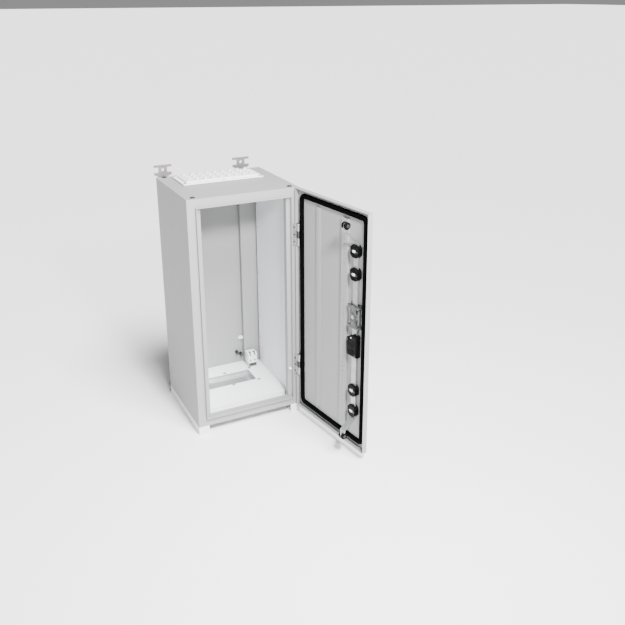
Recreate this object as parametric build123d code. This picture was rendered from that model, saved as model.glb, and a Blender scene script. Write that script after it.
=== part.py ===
"""Wall and floor standing switchboard cabinet with a hinged, rod locked door.

Millimetres, +Z up, front towards -Y.  The origin is the centre of the floor bolt
pattern on the plane that the base rails rest on.
"""
from build123d import *
import os
from math import acos, cos, pi, radians, sin, tan

# ---- driving dimensions: shell -------------------------------------------------------
body_width = 310.0
body_depth = 270.0
body_height = 650.0
sheet = 1.5                    # folded steel sheet of shell and door
fit_gap = 0.3                  # loose clearance between pieces that slide or drop in
running_gap = 0.05             # radial clearance of pins, shafts, bolts and barrels
nut_radius = 5.5               # six sided nuts and bolt heads, over the corners
nut_height = 5.0
flat_head = 1.4                # height of slotted screw heads
head_slot = 0.4                # half the width of a screw slot

# ---- base rails ----------------------------------------------------------------------
rail_height = 25.0
rail_width = 30.0
rail_wall = 2.0
floor_bolt_inset = 30.0        # floor bolt hole from the rail's end
floor_bolt_radius = 4.5
rail_screw_inset = 62.0        # rail to body screw from the rail's end
rail_screw_radius = 3.0

# ---- front frame ---------------------------------------------------------------------
band_width = 24.5              # flat band round the opening
lip_thickness = 2.0            # sealing lip, folded double
lip_height = 7.0               # lip in front of the band
ledge_recess = 4.0             # ledge behind the band's face
side_ledge = 11.5              # ledge width at the posts
sill_ledge = 5.5               # ledge height at the sill
jamb_depth = 20.0              # depth of the post's box
rail_return = 12.0             # depth of the top rail's and sill's return
liner_back_gap = 28.0          # side liner's rear edge from the body's rear face
floor_level = 30.0             # inner floor above the body's lower edge
gutter_level = 14.0            # gutter behind the sill, where the lower rollers lock

# ---- rear corners and services -------------------------------------------------------
rear_post_width = 72.0
rear_post_depth = 17.0
rear_post_wall = 2.0
plug_inset = 21.0
plug_inset_rear_right = 57.0
plug_inset_front = 14.0
plug_inset_back = 9.0
plug_radius = 7.0
plug_hole_radius = 5.0
plug_cap = 2.0

# ---- cable entry plate in the roof ---------------------------------------------------
entry_width = 232.0
entry_depth = 108.0
entry_back_gap = 20.0          # plate's rear edge from the body's rear face
entry_overlap = 12.0           # plate over the edge of the roof window
entry_rim = 3.0
entry_step = 4.0               # raised centre above the rim
entry_groove = 2.0
entry_seal = 1.0
entry_columns = 9
entry_rows = 3
entry_pitch_x = 22.5
entry_pitch_y = 25.0
membrane_bore = 7.0
membrane_flange = 9.0
membrane_height = 6.0
entry_screw_radius = 2.0

# ---- gland plate in the floor --------------------------------------------------------
gland_width = 150.0
gland_depth = 68.0
gland_back_gap = 64.0          # opening's rear edge from the body's rear face
gland_overlap = 12.0
gland_dish = 10.0
gland_seal = 1.0
gland_screw_radius = 2.5

# ---- wall brackets -------------------------------------------------------------------
bracket_width = 50.0
bracket_thickness = 3.0
bracket_rise = 34.0            # head above the roof
bracket_drop = 18.0            # lower head below the body
bracket_strap_width = 30.0
bracket_strap = 70.0           # strap behind the back panel
bracket_web = 24.0
bracket_bar = 6.0
bracket_shoulder = 13.0        # top of the winged shoulder above the roof
bracket_wing = 6.0             # height of the wing's end
bracket_inset_left = 21.0
bracket_inset_right = 57.0
wall_bolt_radius = 4.5
bracket_bolt_radius = 3.0
bracket_bolt_offsets = (24.0, 57.0)

# ---- door ----------------------------------------------------------------------------
door_thickness = 14.0
door_gap = 3.0                 # between the door's edge and the band
door_rest_angle = 98.0
door_open_angle = 130.0
pivot_inset = 6.0              # hinge axis in from the hinge edge
pivot_front = 10.0             # hinge axis in front of the band
gasket_inset = 12.0
gasket_width = 13.0
gasket_corner = 12.0
seal_gap = 0.5                 # lip to gasket with the door closed
hinge_height = 62.0
hinge_inset = 130.0            # hinge centre from the door's top and bottom
knuckle_radius = 4.0
hinge_pin_radius = 1.8
leaf_thickness = 2.5
leaf_width = 13.0
notch_gap = 1.0

# ---- door rails ----------------------------------------------------------------------
stiffener_inset = 80.0         # from the hinge edge
stiffener_width = 22.0
stiffener_height = 3.0
perforated_gap = 36.0          # from the rod's centre line towards the hinges
perforated_width = 26.0
perforated_height = 6.0
perforated_pitch = 12.5
perforated_hole = 1.75
rail_end_gap = 34.0            # door rails short of the door's ends

# ---- lock ----------------------------------------------------------------------------
rod_width = 18.0
rod_thickness = 3.0
rod_lift = 5.0                 # rod above the door skin
guide_width = 30.0
guide_length = 32.0
guide_height = 14.0
guide_insets = (105.0, 165.0)  # guide centres from the door's ends
guide_screw_radius = 2.0
roller_radius = 9.0
roller_width = 6.0
roller_pin_radius = 3.0
roller_reach = 24.0            # roller axis behind the band, door closed
roller_gap = 1.2               # retracted roller to the frame's edge
lug_radius = 7.0
joggle_start = 46.0            # joggle from the roller axis to where it leaves the door
joggle_end = 16.0
gear_level = 372.0             # pinion centre above the door's lower edge
pinion_pitch_radius = 10.0
pinion_teeth = 12
pinion_width = 5.0
pressure_angle = 20.0
backlash = 0.5
handle_travel = 90.0
rack_body = 4.0                # rack behind its teeth
rack_reach = 21.0              # toothed end of the rack, past the pinion's centre
rack_lead = 10.0               # last tooth on the other side of the centre
rack_link = 6.0                # arm that joins the rack to the bar
spindle_radius = 5.0
gear_plate_edge = 1.5          # base past the posts, and its gap to the gasket
gear_plate_length = 68.0
gear_plate_thickness = 2.5
gear_post_radius = 3.0
bridge_length = 30.0
lock_case_width = 40.0
lock_case_length = 64.0
lock_case_height = 15.0
lock_case_level = 262.0
lock_case_shift = 4.0          # case centre from the rod's centre line
barrel_radius = 6.0
barrel_offset = 16.5
barrel_level = 290.0
escutcheon_width = 40.0
escutcheon_length = 176.0
escutcheon_height = 6.0
lever_length = 112.0
lever_width = 20.0
lever_thickness = 10.0
lever_standoff = 5.0
spindle_seat = 2.0             # spindle end inside the lever

# ---- earth terminal on the inner floor, studs on the back panel -----------------------
terminal_width = 28.0
terminal_depth = 26.0
terminal_height = 46.0
terminal_inset = 58.0          # centre from the right side
terminal_back = 38.0           # centre from the rear face
terminal_tongue = 2.0          # foot in front of the block
terminal_foot = 12.0           # height of the folded foot
stud_radius = 3.0
stud_height = 18.0
stud_places = ((35.0, 37.0), (22.0, 29.0))  # left of the terminal's centre, above the inner floor
washer_thickness = 1.5
clamp_slot = 6.0               # notch in the block round each clamp screw
clamp_depth = 13.0

# ---- small inside fittings -----------------------------------------------------------
clip_size = 14.0
clip_depth = 8.0
clip_band = 8.0
clip_wall = 2.0
clip_level = 85.0              # above the inner floor
buffer_radius = 4.0
buffer_level = 118.0           # above the body's lower edge
buffer_reach = 2.0             # in front of the band's face

# ---- derived places ------------------------------------------------------------------
left, right = -body_width / 2, body_width / 2
front, back = -body_depth / 2, body_depth / 2
bottom, top = rail_height, rail_height + body_height
floor_top = bottom + floor_level
band_back = front + sheet
lip_front = front - lip_height
ledge_face = front + ledge_recess
side_opening = band_width + side_ledge
sill_top = bottom + band_width + sill_ledge
door_edge = front - door_gap                   # door's inner edge, closed
door_face = door_edge - door_thickness         # door's outer face, closed
door_skin = door_face + sheet                  # inside of the door skin
pivot_x = right - pivot_inset
pivot_y = front - pivot_front
tooth_module = 2 * pinion_pitch_radius / pinion_teeth
tooth_pitch = pi * tooth_module
addendum = 0.8 * tooth_module
dedendum = 1.1 * tooth_module
gear_post_reach = pinion_pitch_radius + dedendum + rack_body + 2 * fit_gap + gear_post_radius
gear_plate_half = gear_post_reach + gear_post_radius + gear_plate_edge
lock_x = left + gasket_inset + gasket_width + gear_plate_edge + gear_plate_half
rod_front = door_skin + rod_lift
rod_back = rod_front + rod_thickness
rod_middle = (rod_front + rod_back) / 2
roller_y = front + roller_reach
roller_low = sill_top + roller_gap + roller_radius
roller_high = top - band_width - roller_gap - roller_radius
gear_z = bottom + gear_level
gutter_top = bottom + gutter_level
gutter_back = roller_y + roller_radius + roller_gap
hinge_levels = (bottom + hinge_inset, top - hinge_inset)

parts = {}


# ---- small shape helpers -------------------------------------------------------------
def block(x0, x1, y0, y1, z0, z1):
    """Axis aligned box between two corners."""
    corner = (Align.MIN, Align.MIN, Align.MIN)
    return Pos(x0, y0, z0) * Box(x1 - x0, y1 - y0, z1 - z0, align=corner)


def post(x, y, z0, z1, radius):
    """Cylinder along Z."""
    return Pos(x, y, z0) * Cylinder(radius, z1 - z0, align=(Align.CENTER, Align.CENTER, Align.MIN))


def bar_y(x, z, y0, y1, radius):
    """Cylinder along Y."""
    turned = Rot(-90, 0, 0) * Cylinder(radius, y1 - y0, align=(Align.CENTER, Align.CENTER, Align.MIN))
    return Pos(x, y0, z) * turned


def bar_x(y, z, x0, x1, radius):
    """Cylinder along X."""
    turned = Rot(0, 90, 0) * Cylinder(radius, x1 - x0, align=(Align.CENTER, Align.CENTER, Align.MIN))
    return Pos(x0, y, z) * turned


def mirrored(shape):
    """The same piece on the other side of the cabinet."""
    return shape.mirror(Plane.YZ)


def group(shapes):
    """Separate solids kept in one node."""
    return Compound(children=list(shapes))


def with_door(shape):
    """Turns a piece modelled on the closed door to the door's rest angle."""
    return shape.rotate(Axis((pivot_x, pivot_y, 0), (0, 0, 1)), door_rest_angle)


# ---- shell ---------------------------------------------------------------------------
def side_panel():
    return block(right - sheet, right, front, back, bottom, top - sheet)


def back_panel():
    panel = block(left + sheet, right - sheet, back - sheet, back, bottom, top - sheet)
    for x, z in bracket_bolt_places():
        panel -= bar_y(x, z, back - sheet - 1, back + 1, bracket_bolt_radius + running_gap)
    return panel


def plug_places():
    return [
        (left + plug_inset, front + plug_inset_front),
        (right - plug_inset, front + plug_inset_front),
        (left + plug_inset, back - plug_inset_back),
        (right - plug_inset_rear_right, back - plug_inset_back),
    ]


def entry_box(margin):
    """Outline of the roof entry plate, made smaller all round by a margin."""
    rear = back - entry_back_gap
    x = entry_width / 2 - margin
    return -x, x, rear - entry_depth + margin, rear - margin


def entry_screw_places():
    x0, x1, y0, y1 = entry_box(entry_overlap / 2)
    return [(x, y) for x in (x0, 0, x1) for y in (y0, y1)]


def roof_panel():
    panel = block(left, right, front, back, top - sheet, top)
    x0, x1, y0, y1 = entry_box(entry_overlap)
    panel -= block(x0, x1, y0, y1, top - sheet - 1, top + 1)
    for x, y in plug_places():
        panel -= post(x, y, top - sheet - 1, top + 1, plug_hole_radius + running_gap)
    for x, y in entry_screw_places():
        panel -= post(x, y, top - sheet - 1, top + 1, entry_screw_radius)
    return panel


def corner_plugs():
    plugs = []
    for x, y in plug_places():
        stem = post(x, y, top - sheet - 3, top, plug_hole_radius)
        cap = post(x, y, top, top + plug_cap, plug_radius)
        plugs.append(stem + chamfer(cap.edges().group_by(Axis.Z)[-1], plug_cap / 2))
    return group(plugs)


def front_post():
    """Roll formed upright: band, sealing lip, ledge and jamb in one section."""
    inner = right - side_opening
    lip_inner = right - band_width
    lip_outer = lip_inner + lip_thickness
    shape = block(lip_inner, right - sheet, front, band_back, bottom, top - sheet)
    shape += block(right - 2 * sheet, right - sheet, band_back, front + jamb_depth, gutter_top, top - sheet)
    lip_margin = band_width - lip_thickness
    shape += block(lip_inner, lip_outer, lip_front, front, bottom + lip_margin, top - lip_margin)
    box_bottom, box_top = sill_top, top - band_width
    shape += block(lip_inner, lip_outer, front, ledge_face + sheet, box_bottom, box_top)
    shape += block(inner, lip_outer, ledge_face, ledge_face + sheet, box_bottom, box_top)
    shape += block(inner, inner + sheet, ledge_face, front + jamb_depth, box_bottom, box_top)
    shape += block(inner, lip_outer, front + jamb_depth - sheet, front + jamb_depth, box_bottom, box_top)
    return shape


def front_top_rail():
    x0, x1 = left + band_width, right - band_width
    lip_base = top - band_width
    shape = block(x0, x1, front, band_back, lip_base, top - sheet)
    shape += block(x0, x1, lip_front, front, lip_base, lip_base + lip_thickness)
    shape += block(x0, x1, band_back, front + rail_return, lip_base, lip_base + sheet)
    return shape


def front_sill():
    x0, x1 = left + band_width, right - band_width
    lip_top = bottom + band_width
    shape = block(x0, x1, front, band_back, bottom, lip_top)
    shape += block(x0, x1, lip_front, front, lip_top - lip_thickness, lip_top)
    shape += block(x0, x1, front, ledge_face + sheet, lip_top - lip_thickness, lip_top)
    shape += block(x0, x1, ledge_face, ledge_face + sheet, lip_top, sill_top)
    shape += block(x0, x1, ledge_face, front + rail_return, sill_top - sheet, sill_top)
    shape += block(x0, x1, front + rail_return - sheet, front + rail_return, gutter_top, sill_top)
    return shape


def side_liner():
    """Inner side wall behind the post, with a rear return to the side panel."""
    inner = right - band_width
    y0, y1 = front + jamb_depth, back - liner_back_gap
    wall = block(inner, inner + sheet, y0, y1, floor_top, top - sheet)
    return wall + block(inner, right - sheet, y1 - sheet, y1, floor_top, top - sheet)


def rear_post():
    y0, y1 = back - rear_post_depth, back - sheet
    x0, x1 = right - rear_post_width, right - sheet
    shape = block(x0, x1, y0, y0 + rear_post_wall, floor_top, top - sheet)
    return shape + block(x0, x0 + rear_post_wall, y0, y1, floor_top, top - sheet)


# ---- floor, gland plate and base rails -----------------------------------------------
def gland_box(margin):
    """Outline of the floor opening, made larger all round by a margin."""
    x = gland_width / 2 + margin
    y1 = back - gland_back_gap
    return -x, x, y1 - gland_depth - margin, y1 + margin


def gland_screw_places():
    x0, x1, y0, y1 = gland_box(gland_overlap / 2)
    return [(x, y) for x in (x0, 0, x1) for y in (y0, y1)]


def rail_screw_places():
    x = right - rail_width / 2
    y = back - rail_screw_inset
    return [(sx * x, sy * y) for sx in (-1, 1) for sy in (-1, 1)]


def floor_bolt_places():
    x = right - rail_width / 2
    y = back - floor_bolt_inset
    return [(sx * x, sy * y) for sx in (-1, 1) for sy in (-1, 1)]


def floor_panel():
    """Floor sheet with a gutter behind the sill and side edges that the base rails bolt to."""
    x0, x1 = left + sheet, right - sheet
    y0, y1 = band_back, back - sheet
    riser = gutter_back + sheet
    shape = block(x0, x1, gutter_back, y1, floor_top - sheet, floor_top)
    shape += block(x0, x1, gutter_back, riser, gutter_top - sheet, floor_top)
    shape += block(x0, x1, y0, riser, gutter_top - sheet, gutter_top)
    edge = block(x1 - sheet, x1, y0, y1, bottom, gutter_top)
    edge += block(x1 - sheet, x1, gutter_back, y1, bottom, floor_top - sheet)
    edge += block(right - rail_width, x1 - sheet, y0, y1, bottom, bottom + sheet)
    shape += edge + mirrored(edge)
    gx0, gx1, gy0, gy1 = gland_box(0)
    shape -= block(gx0, gx1, gy0, gy1, floor_top - sheet - 1, floor_top + 1)
    for x, y in gland_screw_places():
        shape -= post(x, y, floor_top - sheet - 1, floor_top + 1, gland_screw_radius)
    for x, y in rail_screw_places():
        shape -= post(x, y, bottom - 1, bottom + sheet + 1, rail_screw_radius)
    return shape


def gland_levels():
    """Underside of the floor sheet, of the seal and of the gland plate's rim."""
    under = floor_top - sheet
    return under, under - gland_seal, under - gland_seal - sheet


def floor_gland_seal():
    under, seal_bottom, _ = gland_levels()
    x0, x1, y0, y1 = gland_box(gland_overlap)
    ring = block(x0, x1, y0, y1, seal_bottom, under)
    x0, x1, y0, y1 = gland_box(0)
    ring -= block(x0, x1, y0, y1, seal_bottom - 1, under + 1)
    for x, y in gland_screw_places():
        ring -= post(x, y, seal_bottom - 1, under + 1, gland_screw_radius)
    return ring


def floor_gland_plate():
    """Dished cover plate, screwed on from below."""
    _, rim_top, rim_bottom = gland_levels()
    x0, x1, y0, y1 = gland_box(gland_overlap)
    plate = block(x0, x1, y0, y1, rim_bottom, rim_top)
    x0, x1, y0, y1 = gland_box(-sheet)
    plate += block(x0, x1, y0, y1, rim_top - gland_dish, rim_top)
    x0, x1, y0, y1 = gland_box(-2 * sheet)
    plate -= block(x0, x1, y0, y1, rim_top - gland_dish + sheet, rim_top + 1)
    for x, y in gland_screw_places():
        plate -= post(x, y, rim_bottom - 1, rim_top + 1, gland_screw_radius)
    return plate


def floor_gland_screws():
    _, _, rim_bottom = gland_levels()
    screws = []
    for x, y in gland_screw_places():
        shank = post(x, y, rim_bottom, floor_top, gland_screw_radius)
        head = post(x, y, rim_bottom - 2.2, rim_bottom, 1.9 * gland_screw_radius)
        nut = post(x, y, floor_top, floor_top + 2.0, 1.9 * gland_screw_radius)
        screws.append(shank + head + nut)
    return group(screws)


def base_rail():
    """Channel along the side, open to the middle, with closed ends."""
    x0, x1 = right - rail_width, right
    shape = block(x0, x1, front, back, 0, rail_height)
    shape -= block(x0 - 1, x1 - rail_wall, front + rail_wall, back - rail_wall,
                   rail_wall, rail_height - rail_wall)
    for x, y in floor_bolt_places():
        shape -= post(x, y, -1, rail_wall + 1, floor_bolt_radius)
    for x, y in rail_screw_places():
        shape -= post(x, y, rail_height - rail_wall - 1, rail_height + 1, rail_screw_radius)
    return shape


def base_rail_screws():
    screws = []
    for x, y in rail_screw_places():
        under = rail_height - rail_wall
        shank = post(x, y, under, bottom + sheet, rail_screw_radius)
        head = Pos(x, y, under - 4) * extrude(RegularPolygon(nut_radius, 6), nut_height - 1)
        nut = Pos(x, y, bottom + sheet) * extrude(RegularPolygon(nut_radius, 6), nut_height)
        screws.append(shank + head + nut)
    return group(screws)


# ---- roof entry plate ----------------------------------------------------------------
def entry_levels():
    """Top of the seal, of the plate's rim and of its raised centre."""
    seal_top = top + entry_seal
    return seal_top, seal_top + entry_rim, seal_top + entry_rim + entry_step


def membrane_places():
    _, _, y0, y1 = entry_box(0)
    middle = (y0 + y1) / 2
    columns = [(c - (entry_columns - 1) / 2) * entry_pitch_x for c in range(entry_columns)]
    rows = [middle + (r - (entry_rows - 1) / 2) * entry_pitch_y for r in range(entry_rows)]
    return [(x, y) for y in rows for x in columns]


def entry_plate_seal():
    x0, x1, y0, y1 = entry_box(1.0)
    ring = block(x0, x1, y0, y1, top, top + entry_seal)
    x0, x1, y0, y1 = entry_box(entry_overlap)
    ring -= block(x0, x1, y0, y1, top - 1, top + entry_seal + 1)
    for x, y in entry_screw_places():
        ring -= post(x, y, top - 1, top + entry_seal + 1, entry_screw_radius)
    return ring


def top_entry_plate():
    """Moulded plate: rim, groove and a raised centre with round entries."""
    base, rim_top, centre_top = entry_levels()
    x0, x1, y0, y1 = entry_box(0)
    rim = block(x0, x1, y0, y1, base, rim_top)
    rim = fillet(rim.edges().filter_by(Axis.Z), 4)
    rim = chamfer(rim.faces().sort_by(Axis.Z)[-1].edges(), 1)
    x0, x1, y0, y1 = entry_box(entry_overlap - entry_groove)
    groove = block(x0, x1, y0, y1, rim_top - 1.2, rim_top + 1)
    x0, x1, y0, y1 = entry_box(entry_overlap)
    groove -= block(x0, x1, y0, y1, rim_top - 2, rim_top + 2)
    plate = rim - groove
    centre = block(x0, x1, y0, y1, base, centre_top)
    centre = fillet(centre.edges().filter_by(Axis.Z), 3)
    plate += chamfer(centre.faces().sort_by(Axis.Z)[-1].edges(), 1)
    for x, y in membrane_places():
        plate -= post(x, y, base - 1, centre_top + 1, membrane_bore)
    for x, y in entry_screw_places():
        plate -= post(x, y, base - 1, rim_top + 1, entry_screw_radius)
    return plate


def entry_membranes():
    """Soft stepped cones that are cut open for each cable."""
    base, _, centre_top = entry_levels()
    cones = []
    for x, y in membrane_places():
        plug = post(x, y, base, centre_top, membrane_bore)
        flange = post(x, y, centre_top, centre_top + 1.2, membrane_flange)
        cone = Cone(0.8 * membrane_bore, 0.35 * membrane_bore, membrane_height,
                    align=(Align.CENTER, Align.CENTER, Align.MIN))
        cones.append(plug + flange + Pos(x, y, centre_top + 1.2) * cone)
    return group(cones)


def entry_plate_screws():
    _, rim_top, _ = entry_levels()
    screws = []
    for x, y in entry_screw_places():
        shank = post(x, y, top - sheet - 5, rim_top, entry_screw_radius)
        head = post(x, y, rim_top, rim_top + 1.6, 1.8 * entry_screw_radius)
        head -= block(x - 2.6, x + 2.6, y - head_slot, y + head_slot, rim_top + 0.8, rim_top + 2)
        screws.append(shank + head)
    return group(screws)


# ---- wall brackets -------------------------------------------------------------------
bracket_columns = {"left": left + bracket_inset_left, "right": right - bracket_inset_right}


def bracket_bolt_places():
    places = []
    for x in bracket_columns.values():
        for offset in bracket_bolt_offsets:
            places += [(x, top - offset), (x, bottom + offset + bracket_rise - bracket_drop)]
    return places


def wall_bracket(x, upper):
    """Pressed zinc plated bracket: strap, winged shoulder, web with a bolt hole and top bar."""
    y0, y1 = back, back + bracket_thickness
    half, strap = bracket_width / 2, bracket_strap_width / 2
    shape = block(x - strap, x + strap, y0, y1, -bracket_strap, 3)
    high, low = bracket_shoulder, bracket_shoulder - bracket_wing
    wing = Polyline((x - half, y0, high), (x + half, y0, high), (x + half, y0, low), (x + strap, y0, 2),
                    (x - strap, y0, 2), (x - half, y0, low), close=True)
    shape += extrude(make_face(wing), bracket_thickness, dir=(0, 1, 0))
    web = bracket_web / 2
    shape += block(x - web, x + web, y0, y1, high - 1, bracket_rise - 2)
    shape += block(x - half, x + half, y0, y1, bracket_rise - bracket_bar, bracket_rise)
    shape -= bar_y(x, (high + bracket_rise - bracket_bar) / 2, y0 - 1, y1 + 1, wall_bolt_radius)
    for offset in bracket_bolt_offsets:
        shape -= bar_y(x, -offset, y0 - 1, y1 + 1, bracket_bolt_radius + running_gap)
    if upper:
        return Pos(0, 0, top) * shape
    flipped = shape.mirror(Plane.XY)
    return Pos(0, 0, bottom - bracket_drop + bracket_rise) * flipped


def bracket_bolts():
    bolts = []
    for x, z in bracket_bolt_places():
        outer = back + bracket_thickness
        shank = bar_y(x, z, back - sheet, outer, bracket_bolt_radius)
        head = bar_y(x, z, outer, outer + 2.5, 1.8 * bracket_bolt_radius)
        nut = Pos(x, back - sheet, z) * Rot(90, 0, 0) * extrude(RegularPolygon(nut_radius, 6), nut_height - 1)
        bolts.append(shank + head + nut)
    return group(bolts)


# ---- inside fittings -----------------------------------------------------------------
def terminal_place():
    return right - terminal_inset, back - terminal_back


def earth_terminal_bracket():
    """Folded foot that carries the terminal block above the floor."""
    x, y = terminal_place()
    w, d = terminal_width / 2, terminal_depth / 2
    foot = block(x - w, x + w, y - d - terminal_tongue, y + d, floor_top, floor_top + 2)
    for sx in (-1, 1):
        side = x + sx * (w - 1)
        foot += block(side - 1, side + 1, y - d, y + d, floor_top + 2, floor_top + terminal_foot)
    return foot


def earth_terminal_block():
    x, y = terminal_place()
    w, d = terminal_width / 2, terminal_depth / 2
    low = floor_top + terminal_foot
    body = block(x - w, x + w, y - d, y + d, low, floor_top + terminal_height)
    high = floor_top + terminal_height
    body = chamfer(body.edges().filter_by(Axis.X).group_by(Axis.Z)[-1].sort_by(Axis.Y)[0], 5)
    for sx in (-1, 1):
        middle = x + sx * w / 2
        body -= post(middle, y, low + 8, high + 1, stud_radius + running_gap)
        body -= block(middle - clamp_slot / 2, middle + clamp_slot / 2, y - d - 1, y, high - clamp_depth, high + 1)
        body -= bar_y(middle, low + 8, y - d - 1, y + d - 5, stud_radius + 0.5)
    return body


def earth_terminal_screws():
    x, y = terminal_place()
    high = floor_top + terminal_height
    screws = []
    for sx in (-1, 1):
        sx_x = x + sx * terminal_width / 4
        screw = post(sx_x, y, floor_top + terminal_foot + 8, high - 1.5, stud_radius)
        screws.append(screw - block(sx_x - 3.2, sx_x + 3.2, y - head_slot, y + head_slot, high - 2.7, high))
    return group(screws)


def earth_studs():
    """Two threaded studs with nuts on the back panel, beside the terminal."""
    wall = back - sheet
    studs = []
    for across, level in stud_places:
        x, z = terminal_place()[0] - across, floor_top + level
        stud = bar_y(x, z, wall - stud_height, wall, stud_radius)
        nut = Pos(x, wall, z) * Rot(90, 0, 0) * extrude(RegularPolygon(nut_radius, 6), nut_height)
        washer = bar_y(x, z, wall - nut_height - washer_thickness, wall - nut_height, nut_radius - 0.3)
        studs.append(stud + nut + washer)
    return group(studs)


def wall_clip():
    """Small cable clip on the back panel."""
    x = right - rear_post_width - 7.5
    z = floor_top + clip_level
    half, band, inner = clip_size / 2, clip_band / 2, back - sheet
    clip = block(x - half, x + half, inner - clip_depth, inner, z - band, z + band)
    hollow = half - clip_wall - 0.5
    return clip - block(x - hollow, x + hollow, inner - clip_depth + clip_wall, inner - clip_wall,
                        z - band - 1, z + band + 1)


def door_buffer():
    """Small moulded pad on the ledge that the door closes against."""
    x = right - band_width - side_ledge / 2
    z = bottom + buffer_level
    pad = bar_y(x, z, front - buffer_reach, ledge_face, buffer_radius)
    return chamfer(pad.edges().group_by(Axis.Y)[0], 1)


# ---- hinges --------------------------------------------------------------------------
def body_hinge_leaf(level):
    """Fixed leaf on the band with the two outer knuckles."""
    z0, z1 = level - hinge_height / 2, level + hinge_height / 2
    third = hinge_height / 3
    inner = pivot_x - knuckle_radius
    leaf = block(inner + leaf_thickness - leaf_width, inner + leaf_thickness, front - leaf_thickness, front, z0, z1)
    for low in (z0, z1 - third):
        knuckle = post(pivot_x, pivot_y, low, low + third, knuckle_radius)
        knuckle += block(inner, inner + leaf_thickness, pivot_y, front - leaf_thickness, low, low + third)
        leaf += knuckle
    return leaf - post(pivot_x, pivot_y, z0 - 1, z1 + 1, hinge_pin_radius)


def door_hinge_leaf(level):
    """Leaf inside the door edge with the middle knuckle."""
    z0, z1 = level - hinge_height / 2, level + hinge_height / 2
    third = hinge_height / 3
    low, high = z0 + third + fit_gap, z1 - third - fit_gap
    leaf = post(pivot_x, pivot_y, low, high, knuckle_radius)
    leaf += block(pivot_x - knuckle_radius, pivot_x + knuckle_radius, door_skin, pivot_y, low, high)
    plate = pivot_y - knuckle_radius - fit_gap
    leaf += block(pivot_x - knuckle_radius, pivot_x + knuckle_radius, door_skin, plate, z0, z1)
    leaf -= post(pivot_x, pivot_y, z0 - 1, z1 + 1, hinge_pin_radius + running_gap)
    return with_door(leaf)


def hinge_pins():
    pins = []
    for level in hinge_levels:
        z0, z1 = level - hinge_height / 2, level + hinge_height / 2
        pin = post(pivot_x, pivot_y, z0, z1, hinge_pin_radius)
        pin += post(pivot_x, pivot_y, z1, z1 + 2, 1.6 * hinge_pin_radius)
        pins.append(pin)
    return group(pins)


# ---- door ----------------------------------------------------------------------------
def door_panel():
    """Shallow sheet steel tray with cut-outs for the hinges, spindle and lock barrel."""
    shape = block(left, right, door_face, door_edge, bottom, top)
    shape = fillet(shape.edges().filter_by(Axis.Z).group_by(Axis.Y)[0], 1.2)
    shape -= block(left + sheet, right - sheet, door_skin, door_edge + 1, bottom + sheet, top - sheet)
    for level in hinge_levels:
        half = hinge_height / 2 + notch_gap
        shape -= block(right - sheet - 1, right + 1, door_skin, door_edge + 1, level - half, level + half)
    shape -= bar_y(lock_x, gear_z, door_face - 1, door_skin + 1, spindle_radius + running_gap)
    shape -= bar_y(lock_x + barrel_offset, bottom + barrel_level, door_face - 1, door_skin + 1,
                   barrel_radius + running_gap)
    return with_door(shape)


def door_ring(inset, width, corner, y0, y1):
    """Frame shaped ring on the door's skin, rounded at its corners."""
    outer = block(left + inset, right - inset, y0, y1, bottom + inset, top - inset)
    outer = fillet(outer.edges().filter_by(Axis.Y), corner + width / 2)
    inner = block(left + inset + width, right - inset - width, y0 - 1, y1 + 1,
                  bottom + inset + width, top - inset - width)
    return outer - fillet(inner.edges().filter_by(Axis.Y), corner - width / 2 + 2)


def door_gasket():
    face = lip_front - seal_gap
    return with_door(door_ring(gasket_inset, gasket_width, gasket_corner, door_skin, face))


def door_stiffener():
    """Low hat section welded to the skin near the hinges."""
    x1 = right - stiffener_inset
    x0 = x1 - stiffener_width
    z0, z1 = bottom + rail_end_gap, top - rail_end_gap
    shape = block(x0, x1, door_skin, door_skin + sheet, z0, z1)
    shape += block(x0 + 5, x1 - 5, door_skin, door_skin + stiffener_height, z0, z1)
    return with_door(shape)


def door_perforated_rail():
    """Channel with a row of fixing holes."""
    x0 = lock_x + perforated_gap
    x1 = x0 + perforated_width
    z0, z1 = bottom + rail_end_gap, top - rail_end_gap
    y1 = door_skin + perforated_height
    shape = block(x0, x1, door_skin, y1, z0, z1)
    shape -= block(x0 + sheet, x1 - sheet, door_skin - 1, y1 - sheet, z0 - 1, z1 + 1)
    count = int((z1 - z0 - perforated_pitch) / perforated_pitch)
    centre = (z0 + z1) / 2
    for k in range(count):
        z = centre + (k - (count - 1) / 2) * perforated_pitch
        shape -= bar_y((x0 + x1) / 2, z, y1 - sheet - 1, y1 + 1, perforated_hole)
    return with_door(shape)


# ---- lock rods and guides ------------------------------------------------------------
def guide_levels():
    return [bottom + inset for inset in guide_insets] + [top - inset for inset in guide_insets]


def guide_screw_places():
    reach = guide_width / 2 - 3.2
    return [(lock_x + sx * reach, z) for z in guide_levels() for sx in (-1, 1)]


def rod_guides():
    guides = []
    for z in guide_levels():
        w, h = guide_width / 2, guide_length / 2
        guide = block(lock_x - w, lock_x + w, door_skin, door_skin + guide_height, z - h, z + h)
        guide = chamfer(guide.edges().filter_by(Axis.Y), 7)
        slot = rod_width / 2 + fit_gap
        guide -= block(lock_x - slot, lock_x + slot, rod_front - fit_gap, rod_back + fit_gap, z - h - 1, z + h + 1)
        for x, screw_z in guide_screw_places():
            guide -= bar_y(x, screw_z, door_skin - 1, door_skin + guide_height + 1, guide_screw_radius)
        guides.append(guide)
    return with_door(group(guides))


def guide_screws():
    screws = []
    for x, z in guide_screw_places():
        high = door_skin + guide_height
        screw = bar_y(x, z, door_skin, high, guide_screw_radius)
        head = bar_y(x, z, high, high + flat_head, 1.5 * guide_screw_radius)
        slot = block(x - head_slot, x + head_slot, high + flat_head / 2, high + 2, z - 2.4, z + 2.4)
        screws.append(screw + head - slot)
    return with_door(group(screws))


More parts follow.
